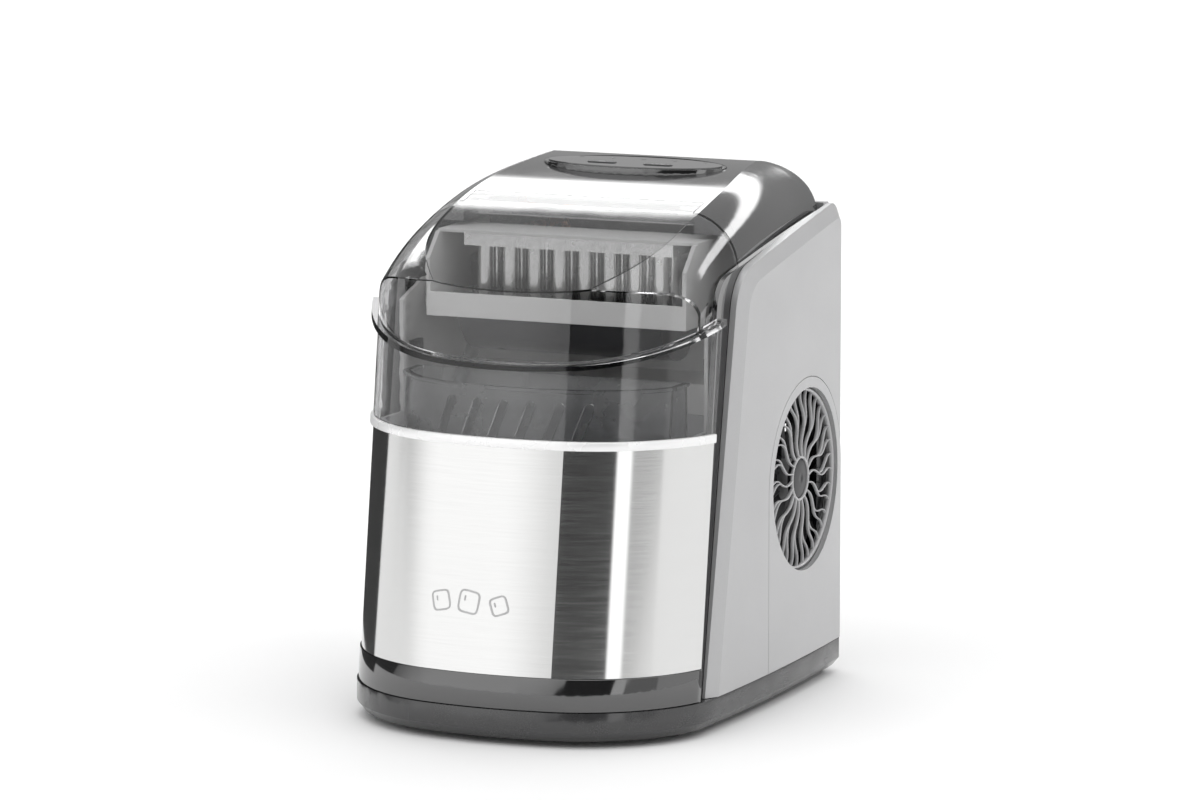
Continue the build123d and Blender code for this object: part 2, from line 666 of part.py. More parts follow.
def ice_basket():
    """The lift-out ice bin: bowed front with slots, drain holes in its floor."""
    low, high = BASKET_Z
    limits = block(-84, 84, -160, BASKET_BACK, 0, 400)
    outer = front_prism(BASKET_INSET, low, high, back=60) & limits
    inner = front_prism(BASKET_INSET + 2, low + 2, high + 9, back=60)
    inner = inner & block(-82, 82, -160, BASKET_BACK - 2, 0, 400)
    tub = outer - inner
    for k in range(6):
        tub = tub - basket_slot(17.0 * (k - 2.5))
    for x in range(-3, 4):
        for y in (-100, -84, -68):
            tub = tub - rod((22 * x, y, low - 1), (22 * x, y, low + 5), 3.0)
    lip = front_prism(BASKET_INSET - 2, high - 2, high, back=60) & block(-86, 86, -160, BASKET_BACK, 0, 400)
    return tub + (lip - inner)


def basket_slot(x):
    """A leaning round-ended slot through the basket's front wall."""
    foot = Vector(x - 4, -160, BASKET_Z[1] - 30)
    head = Vector(x + 2.5, -160, BASKET_Z[1] - 11)
    side = Vector(3.0, 0, 0)
    ring = Wire([Line(foot - side, foot + side), Line(foot + side, head + side),
                 ThreePointArc(head + side, head + Vector(0.5, 0, 3.4), head - side),
                 Line(head - side, foot - side)])
    return Solid.extrude(Face(ring), Vector(0, 90, 0))


def evaporator_fingers():
    """Two rows of cold fingers under a flat manifold."""
    fingers = []
    for y in (TRAY_AXIS[0] - 8, TRAY_AXIS[0] + 8):
        for k in range(FINGER_COUNT):
            x = FINGER_PITCH * (k - (FINGER_COUNT - 1) / 2)
            stem = rod((x, y, FINGER_TIP_Z + FINGER_R), (x, y, MANIFOLD_Z + 1), FINGER_R)
            tip = Pos(x, y, FINGER_TIP_Z + FINGER_R) * Sphere(FINGER_R)
            fingers.append(stem + tip)
    plate = block(-66, 66, TRAY_AXIS[0] - 16, TRAY_AXIS[0] + 16, MANIFOLD_Z, MANIFOLD_Z + 7)
    return join([plate] + fingers)


def evaporator_bracket():
    """White frame: a front beam and two end cheeks that carry tray, pusher and manifold."""
    front = TRAY_AXIS[0] - TRAY_R - 5
    beam = block(-82, 82, front, front + 2.5, 229, 243)
    back = PUSHER_AXIS[0] + 12
    cheeks = side_face([(front, 229), (back, 229), (back, 276), (front + 14, 276), (front, 262)])
    shape = join([beam] + both_sides(across(cheeks, 79.5, 82)))
    bridge = block(-82, 82, TRAY_AXIS[0] - 18, TRAY_AXIS[0] + 18, MANIFOLD_Z + 7.2, MANIFOLD_Z + 9)
    shape = shape + bridge
    foot = block(81.5, 94.7, 20, 40, 229, 232)
    shape = join([shape] + both_sides(foot))
    for axis, r in ((TRAY_AXIS, 3.06), (PUSHER_AXIS, 3.06)):
        shape = shape - rod((-100, *axis), (100, *axis), r)
    return shape


def water_tray():
    """The tilting half-round trough that the fingers dip into, with its stub shafts."""
    y, z = TRAY_AXIS
    half = TRAY_HALF + 2
    shell = tube((-half, y, z), (half, y, z), TRAY_R, TRAY_R - 2)
    ends = rod((-half, y, z), (-half + 2, y, z), TRAY_R) + rod((half - 2, y, z), (half, y, z), TRAY_R)
    trough = (shell + ends) - block(-100, 100, y - 50, y + 50, z, z + 50)
    hubs = []
    for side in (-1, 1):
        hubs.append(rod((side * half, y, z), (side * (half - 2), y, z), 7))
        hubs.append(rod((side * (half - 0.5), y, z), (side * 83, y, z), 3.0))
    return join([trough] + hubs)


def ice_pusher():
    """A comb that swings forward between the fingers and sweeps the ice off."""
    y, z = PUSHER_AXIS
    shaft = rod((-83, y, z), (83, y, z), 3.0)
    web = block(-62, 62, y - 1.5, y + 1.5, z - 14, z)
    teeth = []
    for k in range(FINGER_COUNT - 1):
        x = FINGER_PITCH * (k - (FINGER_COUNT - 2) / 2)
        teeth.append(block(x - 2.5, x + 2.5, y - 1.5, y + 1.5, z - PUSHER_REACH, z - 10))
    return join([shaft, web] + teeth)


def tray_motor():
    """Geared synchronous motor outside the left cheek."""
    y, z = TRAY_AXIS
    body = rod((-94, y, z), (-83.4, y, z), 12)
    ears = block(-86, -84, y - 18, y + 18, z - 4, z + 4)
    return body + ears


def bracket_screws():
    """Screws through the motor's ears and the bracket's front beam."""
    y, z = TRAY_AXIS
    screws = []
    for dy in (-15.5, 15.5):
        head = rod((-88, y + dy, z), (-86.05, y + dy, z), 3.0)
        screws.append(head)
    return group(screws)


def water_pump():
    """The tank's pump body with its round impeller chamber."""
    x, y = PUMP
    body = block(x - 15, x + 15, y - 14, y + 14, 29.1, 60) - rod((x, y, 28), (x, y, 46), 10.5)
    outlet = tube((x, y, 60), (x, y, 72), 4.5, 3.0)
    return body + outlet


def pump_impeller():
    """Five-bladed impeller with its shaft in the pump body."""
    x, y = PUMP
    hub = rod((x, y, 33), (x, y, 44), 3.0)
    disc = rod((x, y, 42), (x, y, 44), 9.0)
    blades = []
    for k in range(5):
        blade = block(x + 2, x + 9, y - 0.6, y + 0.6, 34, 43)
        blades.append(blade.rotate(Axis((x, y, 0), (0, 0, 1)), 72 * k))
    return join([hub, disc] + blades)


def water_hose():
    """Hose from the pump's outlet up to the tray's left end."""
    x, y = PUMP
    start = (x, y, 72.2)
    route = FilletPolyline(start, (x, y, 185), (-72, 14, 212), (-72, 14, 246), (-68, 3, 258), radius=8)
    plane = Plane(origin=start, z_dir=(0, 0, 1))
    return sweep(plane * Circle(4.2), path=route) - sweep(plane * Circle(3.0), path=route)


def compressor():
    """Sealed compressor: a welded round can with a domed top on a foot plate."""
    x, y, r = COMPRESSOR
    can = Pos(x, y, 38) * Cylinder(r, COMPRESSOR_TOP - 38, align=(Align.CENTER, Align.CENTER, Align.MIN))
    can = fillet(can.edges().sort_by(Axis.Z)[-1], 14)
    can = can + tube((x, y, 84), (x, y, 89), r + 1.6, r - 1)
    plate = block(x - 44, x + 44, y - 34, y + 34, 16.2, 19)
    leg = rod((x, y, 19), (x, y, 38.5), 18)
    shape = join([can, plate, leg])
    for dx in (-38, 38):
        for dy in (-28, 28):
            shape = shape - rod((x + dx, y + dy, 10), (x + dx, y + dy, 30), 4.0)
    return shape


def compressor_grommets():
    """Four rubber feet between the compressor's plate and the base."""
    x, y, r = COMPRESSOR
    feet = []
    for dx in (-38, 38):
        for dy in (-28, 28):
            foot = rod((x + dx, y + dy, 7.6), (x + dx, y + dy, 16.1), 6.5)
            neck = rod((x + dx, y + dy, 16), (x + dx, y + dy, 22), 3.9)
            feet.append(foot + neck)
    return group(feet)


def condenser():
    """Fin pack with its tube runs, behind the fan."""
    fins = []
    for k in range(16):
        z = 76 + 6.6 * k
        fins.append(block(44, 66, 24, 122, z, z + 0.9))
    for k in range(5):
        y = 34 + 19.5 * k
        fins.append(rod((49, y, 74), (49, y, 178), 3.2))
        fins.append(rod((61, y, 74), (61, y, 178), 3.2))
    for y in (28, 114):
        fins.append(block(44, 51, y, y + 2, 7.6, 78))
    return join(fins)


def fan_shroud():
    """Square duct plate with a round throat and four arms for the fan's motor."""
    plate = block(84, 101.4, 16, 130, 69, 186)
    plate = plate - block(86.2, 110, 18.2, 127.8, 71.2, 183.8)
    plate = plate - rod((80, GRILLE_Y, GRILLE_Z), (120, GRILLE_Y, GRILLE_Z), 50)
    throat = tube((84, GRILLE_Y, GRILLE_Z), (101.4, GRILLE_Y, GRILLE_Z), 52, 50)
    legs = block(84, 86.2, 22, 34, 7.6, 70) + block(84, 86.2, 94, 106, 7.6, 70)
    arms = block(84, 86.2, GRILLE_Y - 51, GRILLE_Y + 51, GRILLE_Z - 3, GRILLE_Z + 3)
    arms = arms + block(84, 86.2, GRILLE_Y - 3, GRILLE_Y + 3, GRILLE_Z - 51, GRILLE_Z + 51)
    arms = arms + rod((84, GRILLE_Y, GRILLE_Z), (86.2, GRILLE_Y, GRILLE_Z), 17)
    shape = join([plate, throat, arms, legs])
    return shape - rod((70, GRILLE_Y, GRILLE_Z), (120, GRILLE_Y, GRILLE_Z), 2.5)


def fan_motor():
    """Fan motor can on the shroud's arms, with its shaft bearing."""
    body = rod((70, GRILLE_Y, GRILLE_Z), (84, GRILLE_Y, GRILLE_Z), 16)
    return body - rod((74, GRILLE_Y, GRILLE_Z), (90, GRILLE_Y, GRILLE_Z), 1.55)


def fan_rotor():
    """Seven-bladed fan with a cup hub and its shaft."""
    x0, x1 = FAN_X
    hub = rod((x0, 0, 0), (x1, 0, 0), 14)
    shaft = rod((x0 - 13, 0, 0), (x0 + 1, 0, 0), 1.5)
    blades = []
    for k in range(7):
        blade = block(-1.0, 1.0, -8, 8, 12, 46)
        blade = blade.rotate(Axis.Z, 52)
        blade = Pos((x0 + x1) / 2, 0, 0) * blade
        blade = blade & rod((x0 - 5, 0, 0), (x1 + 5, 0, 0), 46.5)
        blades.append(blade.rotate(Axis.X, 360 * k / 7))
    return Pos(0, GRILLE_Y, GRILLE_Z) * join([hub, shaft] + blades)


def refrigerant_tubes():
    """Copper runs: compressor to condenser, and compressor to manifold."""
    x, y, r = COMPRESSOR
    top = COMPRESSOR_TOP + 0.1
    hot = FilletPolyline((x + 20, y, top), (x + 20, y, 196), (49, 112, 196), (49, 112, 178.2), radius=8)
    cold = FilletPolyline((x - 18, y, top), (x - 18, y, 271.5), (x - 18, 12.3, 271.5), radius=10)
    runs = []
    for route, start in ((hot, (x + 20, y, top)), (cold, (x - 18, y, top))):
        circle = Plane(origin=start, z_dir=(0, 0, 1)) * Circle(2.6)
        runs.append(sweep(circle, path=route))
    return group(runs)


def filter_drier():
    """Copper drier capsule beside the compressor."""
    body = rod((24, 66, 40), (24, 66, 96), 8)
    return join([body, rod((24, 66, 96), (24, 66, 112), 2.5), rod((24, 66, 28), (24, 66, 40), 2.5)])


def hot_gas_valve():
    """Solenoid valve on the hot line, used to release the ice."""
    body = block(2, 16, 112, 126, 150, 160)
    coil = block(0, 18, 110, 128, 160, 176)
    return join([body, coil, rod((9, 119, 176), (9, 119, 184), 4.5), rod((9, 119, 140), (9, 119, 150), 2.6)])


def power_board():
    """Main board with relay, transformer and capacitor on it, upright behind the liner."""
    board = block(-94, -30, 60, 61.6, 192, 250)
    for x in (-90, -34):
        for z in (196, 246):
            board = board + rod((x, 56.6, z), (x, 60.1, z), 2.5)
    parts = [block(-90, -66, 61.5, 82, 196, 216), block(-60, -46, 61.5, 76, 198, 212),
             rod((-80, 61.5, 232), (-80, 84, 232), 9), block(-60, -40, 61.5, 70, 226, 240)]
    return join([board] + parts)


def feet():
    """Four rubber feet under the base, each with a stem into its floor."""
    pads = []
    for x in (-84, 84):
        for y in (-74, 112):
            pads.append(rod((x, y, 0), (x, y, 4.0), 9.0) + rod((x, y, 3.9), (x, y, 9), 2.95))
    return group(pads)


def base_screws():
    """Screws up through the base under the side frames."""
    screws = []
    for x in (-60, 60):
        for y in (-100, 124):
            screws.append(rod((x, y, 4.6), (x, y, 6.2), 3.6) + rod((x, y, 6.1), (x, y, 16), 1.95))
    return group(screws)


def rear_screws():
    """Screws that hold the rear cover."""
    screws = []
    for x in (-96.5, 96.5):
        for z in (40, 150, 258):
            head = rod((x, BACK_Y - 2.45, z), (x, BACK_Y - 0.8, z), 3.2)
            screws.append(head)
    return group(screws)


def base_with_holes():
    """The base pan, drilled for feet and screws."""
    pan = base_pan()
    for x in (-84, 84):
        for y in (-74, 112):
            pan = pan - rod((x, y, 0), (x, y, 12), 3.0)
    for x in (-60, 60):
        for y in (-100, 124):
            pan = pan - rod((x, y, 0), (x, y, 6.25), 3.8) - rod((x, y, 5), (x, y, 20), 2.0)
    return pan


def main():
    frame = side_frame()
    parts = {
        "base_pan": base_with_holes(),
        "rubber_feet": feet(),
        "base_screws": base_screws(),
        "front_kick_band": front_shell(KICK_INSET, 1.8, SEAM_Z + 0.2, KICK_TOP_Z),
        "front_panel": front_shell(STEEL_INSET, 1.0, KICK_TOP_Z + 0.2, STEEL_TOP_Z),
        "front_carrier": front_carrier(),
        "trim_band": trim_band(),
        "front_window": front_window(),
        "lid_shell": lid_shell(),
        "hinge_pins": hinge_pins(),
        "top_cover": top_cover(),
        "control_bezel": control_bezel(),
        "control_face": control_face(),
        "power_button": panel_button(-BUTTON_X),
        "select_button": panel_button(BUTTON_X),
        "indicator_lenses": indicator_lenses(),
        "control_board": control_board(),
        "side_frame_right": frame,
        "side_frame_left": frame.mirror(Plane.YZ),
        "side_panel_right": side_panel_right(),
        "side_panel_left": side_panel_left(),
        "vent_insert": vent_insert(),
        "fan_grille": fan_grille(),
        "rear_cover": rear_cover(),
        "rear_cap": rear_cap(),
        "rear_screws": rear_screws(),
        "cord_gland": cord_gland(),
        "drain_spout": drain_spout(),
        "drain_plug": drain_plug(),
        "water_tank": water_tank(),
        "tank_foam": tank_foam(),
        "compartment_liner": compartment_liner(),
        "ice_full_sensors": ice_full_sensors(),
        "ice_basket": ice_basket(),
        "evaporator": evaporator_fingers(),
        "evaporator_bracket": evaporator_bracket(),
        "water_tray": water_tray(),
        "ice_pusher": ice_pusher(),
        "tray_motor": tray_motor(),
        "bracket_screws": bracket_screws(),
        "water_pump": water_pump(),
        "pump_impeller": pump_impeller(),
        "water_hose": water_hose(),
        "compressor": compressor(),
        "compressor_grommets": compressor_grommets(),
        "condenser": condenser(),
        "fan_shroud": fan_shroud(),
        "fan_motor": fan_motor(),
        "fan_rotor": fan_rotor(),
        "refrigerant_tubes": refrigerant_tubes(),
        "filter_drier": filter_drier(),
        "hot_gas_valve": hot_gas_valve(),
        "power_board": power_board(),
    }
    os.makedirs("parts", exist_ok=True)
    for name, shape in parts.items():
        export_step(shape, f"parts/{name}.step")


main()
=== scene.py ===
"""Looks, lights and camera for a countertop ice maker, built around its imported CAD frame.

Metres, +X right, +Y back, +Z up, with the floor at zero.
"""

import json
import math

import bpy
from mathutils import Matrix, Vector


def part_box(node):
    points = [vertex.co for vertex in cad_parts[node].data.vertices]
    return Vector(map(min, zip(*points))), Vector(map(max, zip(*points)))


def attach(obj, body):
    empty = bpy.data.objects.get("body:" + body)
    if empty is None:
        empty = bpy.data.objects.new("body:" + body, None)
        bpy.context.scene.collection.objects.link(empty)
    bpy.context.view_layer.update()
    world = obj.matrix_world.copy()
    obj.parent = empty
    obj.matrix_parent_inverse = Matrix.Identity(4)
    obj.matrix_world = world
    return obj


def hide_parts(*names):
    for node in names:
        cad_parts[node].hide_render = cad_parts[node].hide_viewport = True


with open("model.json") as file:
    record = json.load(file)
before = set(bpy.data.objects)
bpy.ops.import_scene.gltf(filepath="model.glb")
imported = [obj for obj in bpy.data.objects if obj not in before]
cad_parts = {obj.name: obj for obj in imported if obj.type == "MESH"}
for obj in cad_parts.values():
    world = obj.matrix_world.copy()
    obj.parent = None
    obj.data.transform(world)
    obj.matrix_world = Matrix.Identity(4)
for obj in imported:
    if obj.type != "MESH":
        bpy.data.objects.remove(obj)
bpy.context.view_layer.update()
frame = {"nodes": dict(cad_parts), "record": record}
NODES = frame["nodes"]

MM = 0.001


# ---------------------------------------------------------------- material building blocks
class Look:
    """A material being built: one Principled shader and the nodes that feed it."""

    def __init__(self, name, colour, roughness, metallic=0.0):
        self.material = bpy.data.materials.new(name)
        self.material.use_nodes = True
        self.tree = self.material.node_tree
        self.shader = self.tree.nodes["Principled BSDF"]
        self.output = self.tree.nodes["Material Output"]
        self.colour = tuple(colour)
        self.roughness = roughness
        self.set("Base Color", (*colour, 1.0))
        self.set("Roughness", roughness)
        self.set("Metallic", metallic)
        self.material.diffuse_color = (*colour, 1.0)

    def set(self, name, value):
        self.shader.inputs[name].default_value = value
        return self

    def node(self, kind, **settings):
        made = self.tree.nodes.new(kind)
        for name, value in settings.items():
            setattr(made, name, value)
        return made

    def link(self, a, b):
        self.tree.links.new(a, b)

    def place(self, stretch=(1, 1, 1), offset=(0, 0, 0)):
        """Object coordinates, divided by stretch."""
        source = self.node("ShaderNodeTexCoord")
        mapping = self.node("ShaderNodeMapping")
        mapping.inputs["Scale"].default_value = [1 / s for s in stretch]
        mapping.inputs["Location"].default_value = offset
        self.link(source.outputs["Object"], mapping.inputs["Vector"])
        return mapping.outputs["Vector"]

    def noise(self, size, detail=2.0, stretch=(1, 1, 1), offset=(0, 0, 0)):
        """Smooth noise of about that grain size in metres, from 0 to 1."""
        texture = self.node("ShaderNodeTexNoise")
        texture.inputs["Scale"].default_value = 1 / size
        texture.inputs["Detail"].default_value = detail
        self.link(self.place(stretch, offset), texture.inputs["Vector"])
        return texture.outputs["Fac"]

    def cells(self, size, stretch=(1, 1, 1), feature="F1"):
        """Distance to the nearest of scattered points about size apart."""
        texture = self.node("ShaderNodeTexVoronoi", feature=feature)
        texture.inputs["Scale"].default_value = 1 / size
        self.link(self.place(stretch), texture.inputs["Vector"])
        return texture.outputs["Distance"]

    def spread(self, value, low, high, out_low=0.0, out_high=1.0):
        """Maps low..high of a value to out_low..out_high, and holds it there."""
        node = self.node("ShaderNodeMapRange")
        limits = {"From Min": low, "From Max": high, "To Min": out_low, "To Max": out_high}
        for name, number in limits.items():
            node.inputs[name].default_value = number
        self.link(value, node.inputs["Value"])
        return node.outputs["Result"]

    def math(self, operation, a, b):
        node = self.node("ShaderNodeMath", operation=operation)
        for socket, value in zip(node.inputs, (a, b)):
            if isinstance(value, (int, float)):
                socket.default_value = value
            else:
                self.link(value, socket)
        return node.outputs["Value"]

    def blend(self, factor, a, b):
        """Colour a where factor is 0 and b where it is 1. Either may be a colour or a socket."""
        node = self.node("ShaderNodeMix", data_type="RGBA")
        if isinstance(factor, (int, float)):
            node.inputs["Factor"].default_value = factor
        else:
            self.link(factor, node.inputs["Factor"])
        for socket, value in ((node.inputs[6], a), (node.inputs[7], b)):
            if isinstance(value, tuple):
                socket.default_value = (*value, 1.0)
            else:
                self.link(value, socket)
        return node.outputs[2]

    def paint(self, socket):
        """Drives the base colour."""
        self.link(socket, self.shader.inputs["Base Color"])
        return self

    def shade(self, value, amount):
        """Varies the base colour from darker to lighter by amount, as value goes from 0 to 1."""
        dark = tuple(c * (1 - amount) for c in self.colour)
        light = tuple(min(1.0, c * (1 + amount)) for c in self.colour)
        return self.paint(self.blend(value, dark, light))

    def rough(self, value, low, high):
        """Varies the roughness from low to high, as value goes from 0.3 to 0.7."""
        self.link(self.spread(value, 0.3, 0.7, low, high), self.shader.inputs["Roughness"])
        return self

    def bump(self, height, depth, strength=1.0):
        """Relief of that depth in metres. More than one call adds up."""
        node = self.node("ShaderNodeBump")
        node.inputs["Strength"].default_value = strength
        node.inputs["Distance"].default_value = depth
        self.link(height, node.inputs["Height"])
        before = self.shader.inputs["Normal"]
        if before.is_linked:
            self.link(before.links[0].from_socket, node.inputs["Normal"])
        self.link(node.outputs["Normal"], before)
        return self


def moulded(name, colour, roughness, grain=0.6 * MM, depth=0.012 * MM):
    """Spark-textured moulded plastic: fine even grain and faint handling marks."""
    look = Look(name, colour, roughness)
    look.bump(look.noise(grain, 3.0), depth)
    look.rough(look.noise(40 * MM, 4.0), roughness - 0.05, roughness + 0.07)
    look.shade(look.noise(70 * MM, 3.0), 0.04)
    return look


def polished(name, colour, roughness, wave=18 * MM, depth=0.02 * MM):
    """Gloss plastic: a slight moulding wave, smudges, and hairline polishing marks."""
    look = Look(name, colour, roughness)
    look.set("Coat Weight", 0.3)
    look.set("Coat Roughness", 0.04)
    look.bump(look.noise(wave, 1.0), depth)
    marks = look.noise(0.5 * MM, 2.0, stretch=(1, 30, 1))
    smudge = look.noise(35 * MM, 5.0)
    look.rough(look.math("ADD", look.math("MULTIPLY", marks, 0.3), look.math("MULTIPLY", smudge, 0.7)),
               roughness * 0.6, roughness * 1.8)
    look.shade(look.noise(60 * MM, 2.0), 0.05)
    return look


# ---------------------------------------------------------------- materials, one for each slot
def base_dark():
    look = polished("base_dark", (0.028, 0.028, 0.029), 0.2)
    look.set("IOR", 1.6)
    look.bump(look.noise(0.5 * MM, 2.0), 0.003 * MM)
    return look


def gloss_black():
    """Smoke-chromed black plastic, which mirrors more than plain black does."""
    look = polished("gloss_black", (0.006, 0.006, 0.0065), 0.07, depth=0.008 * MM)
    look.set("IOR", 2.1)
    return look


def steel():
    """Horizontally brushed stainless sheet: the grain runs round the front."""
    look = Look("brushed_steel", (0.68, 0.68, 0.675), 0.11, metallic=1.0)
    long_way = (60, 60, 1)
    fine = look.noise(0.3 * MM, 3.0, stretch=long_way)
    coarse = look.noise(1.2 * MM, 4.0, stretch=long_way, offset=(3, 1, 7))
    lines = look.math("ADD", look.math("MULTIPLY", fine, 0.6), look.math("MULTIPLY", coarse, 0.4))
    look.shade(look.spread(lines, 0.3, 0.7), 0.03)
    look.rough(lines, 0.08, 0.14)
    look.bump(lines, 0.0012 * MM)
    tangent = look.node("ShaderNodeTangent", direction_type="RADIAL", axis="Z")
    look.link(tangent.outputs["Tangent"], look.shader.inputs["Tangent"])
    look.set("Anisotropic", 0.6)
    look.set("Anisotropic Rotation", 0.25)
    return look


def etched():
    """Dull etched steel, for the mark on the front."""
    look = Look("etched_mark", (0.5, 0.5, 0.5), 0.5, metallic=0.5)
    look.bump(look.noise(0.2 * MM, 2.0), 0.01 * MM)
    look.rough(look.noise(3 * MM, 3.0), 0.42, 0.6)
    return look


def print_white():
    """Pale grey pad-printed ink."""
    look = Look("print_white", (0.62, 0.62, 0.62), 0.45)
    look.bump(look.noise(0.3 * MM, 2.0), 0.004 * MM)
    look.shade(look.noise(1 * MM, 2.0), 0.05)
    return look


def trim_silver():
    look = Look("trim_silver", (0.92, 0.92, 0.92), 0.28, metallic=0.2)
    look.rough(look.noise(20 * MM, 4.0), 0.2, 0.36)
    look.bump(look.noise(0.4 * MM, 2.0), 0.004 * MM)
    look.shade(look.noise(50 * MM, 2.0), 0.03)
    return look


def clear_plastic(name, tint, roughness, ior=1.49):
    """Transparent plastic. Lamps shine through it, so that what is inside is lit."""
    look = Look(name, tint, roughness)
    look.set("Transmission Weight", 1.0)
    look.set("IOR", ior)
    look.bump(look.noise(25 * MM, 1.0), 0.03 * MM)
    look.rough(look.noise(30 * MM, 5.0), roughness * 0.5, roughness * 2.2)
    through = look.node("ShaderNodeBsdfTransparent")
    through.inputs["Color"].default_value = (*[c ** 0.5 for c in tint], 1.0)
    path = look.node("ShaderNodeLightPath")
    mix = look.node("ShaderNodeMixShader")
    look.link(path.outputs["Is Shadow Ray"], mix.inputs["Fac"])
    look.link(look.shader.outputs["BSDF"], mix.inputs[1])
    look.link(through.outputs["BSDF"], mix.inputs[2])
    look.link(mix.outputs["Shader"], look.output.inputs["Surface"])
    return look


def smoked():
    return clear_plastic("smoked_plastic", (0.74, 0.74, 0.745), 0.02)


def clear_basket():
    return clear_plastic("clear_basket", (0.78, 0.785, 0.79), 0.16)


def lens():
    return clear_plastic("lens", (0.9, 0.93, 0.95), 0.08)


def cover_grey():
    look = polished("cover_grey", (0.07, 0.07, 0.071), 0.06, depth=0.008 * MM)
    look.set("IOR", 1.9)
    return look


def panel_silver():
    """Silver-grey moulded panel with a fine satin grain and a metallic speckle."""
    look = Look("panel_silver", (0.47, 0.47, 0.475), 0.36, metallic=0.35)
    speckle = look.noise(0.25 * MM, 1.0)
    look.shade(look.spread(speckle, 0.35, 0.65), 0.05)
    look.rough(look.noise(45 * MM, 4.0), 0.3, 0.4)
    look.bump(look.noise(0.45 * MM, 2.0), 0.006 * MM)
    return look


def grille_grey():
    return moulded("grille_grey", (0.5, 0.5, 0.505), 0.3, grain=0.4 * MM, depth=0.004 * MM)


def black_plastic():
    return moulded("black_plastic", (0.025, 0.025, 0.027), 0.42)


def white_plastic():
    return moulded("white_plastic", (0.78, 0.78, 0.77), 0.4)


def tank_grey():
    """Grey moulded inner tank, seen through the window."""
    return moulded("tank_grey", (0.5, 0.5, 0.505), 0.35)


def tray_dark():
    return moulded("tray_dark", (0.05, 0.05, 0.053), 0.3)


def key_grey():
    return moulded("key_grey", (0.06, 0.06, 0.062), 0.34, grain=0.3 * MM, depth=0.006 * MM)


def rubber():
    look = moulded("rubber", (0.022, 0.022, 0.022), 0.72, grain=0.35 * MM, depth=0.02 * MM)
    look.set("Sheen Weight", 0.2)
    return look


def hose():
    return clear_plastic("hose", (0.72, 0.74, 0.74), 0.2, ior=1.43)


def screw():
    look = Look("screw_steel", (0.5, 0.5, 0.51), 0.3, metallic=1.0)
    look.rough(look.noise(1.0 * MM, 3.0), 0.22, 0.42)
    look.bump(look.noise(0.3 * MM, 2.0), 0.01 * MM)
    return look


def copper():
    look = Look("copper", (0.72, 0.36, 0.2), 0.25, metallic=1.0)
    stain = look.noise(12 * MM, 5.0)
    look.paint(look.blend(look.spread(stain, 0.4, 0.62), (0.78, 0.4, 0.23), (0.42, 0.2, 0.12)))
    look.rough(stain, 0.18, 0.45)
    return look


def nickel():
    """Bright plated fingers with a faint bloom of frost."""
    look = Look("nickel", (0.74, 0.74, 0.73), 0.14, metallic=1.0)
    frost = look.noise(5 * MM, 5.0)
    look.rough(frost, 0.08, 0.3)
    look.shade(frost, 0.06)
    look.bump(look.noise(1.5 * MM, 3.0), 0.012 * MM)
    return look


def fins():
    look = Look("aluminium", (0.7, 0.7, 0.71), 0.32, metallic=1.0)
    look.rough(look.noise(6 * MM, 4.0), 0.24, 0.45)
    look.bump(look.noise(0.6 * MM, 3.0), 0.02 * MM)
    return look


def motor_metal():
    look = Look("motor_metal", (0.5, 0.5, 0.5), 0.34, metallic=1.0)
    spangle = look.cells(3 * MM)
    look.shade(look.spread(spangle, 0.1, 0.7), 0.12)
    look.rough(look.noise(5 * MM, 3.0), 0.26, 0.48)
    return look


def compressor_black():
    return moulded("compressor_black", (0.018, 0.018, 0.019), 0.32, grain=1.5 * MM, depth=0.04 * MM)


def foam():
    """Closed-cell foam: rounded cells and no shine."""
    look = Look("foam", (0.62, 0.62, 0.6), 0.9)
    look.bump(look.cells(1.6 * MM), 0.3 * MM)
    look.shade(look.noise(10 * MM, 3.0), 0.08)
    return look


def board_green():
    """Circuit board: green lacquer over faint copper tracks."""
    look = Look("board_green", (0.02, 0.16, 0.06), 0.35)
    tracks = look.cells(2.2 * MM, stretch=(3, 1, 1), feature="DISTANCE_TO_EDGE")
    mask = look.spread(tracks, 0.06, 0.09)
    look.paint(look.blend(mask, (0.05, 0.3, 0.11), (0.015, 0.12, 0.045)))
    look.bump(mask, -0.03 * MM)
    look.rough(look.noise(8 * MM, 3.0), 0.28, 0.42)
    return look


MAKERS = (base_dark, gloss_black, steel, trim_silver, smoked, clear_basket, lens, cover_grey, panel_silver,
          grille_grey, black_plastic, white_plastic, tray_dark, key_grey, rubber, hose, screw, copper, nickel,
          fins, motor_metal, compressor_black, foam, board_green, etched, print_white, tank_grey)
MATERIALS = {make.__name__: make().material for make in MAKERS}

OWN_LOOKS = {"water_tank": "tank_grey"}     # nodes that differ from the rest of their slot


def dress_nodes():
    """Gives each CAD node the material of its slot, or one of its own."""
    for part in frame["record"]["subparts"]:
        slots = NODES[part["node"]].data.materials
        look = OWN_LOOKS.get(part["node"], part["material_slot"])
        for k in range(len(slots)):
            slots[k] = MATERIALS[look]


# ---------------------------------------------------------------- shapes for detail pieces, in millimetres
def piece(name, shapes, material, body="housing"):
    """One object made of (points, faces) shapes, in that material, riding on a body."""
    points, faces = [], []
    for shape_points, shape_faces in shapes:
        start = len(points)
        points += shape_points
        faces += [[start + k for k in face] for face in shape_faces]
    mesh = bpy.data.meshes.new(name)
    mesh.from_pydata([Vector(p) * MM for p in points], [], faces)
    mesh.shade_smooth()
    mesh.materials.append(MATERIALS[material])
    made = bpy.data.objects.new(name, mesh)
    bpy.context.scene.collection.objects.link(made)
    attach(made, body)
    return made


END_ANGLES = (40, 75)       # where the domed ends of a bar have their rings, in degrees


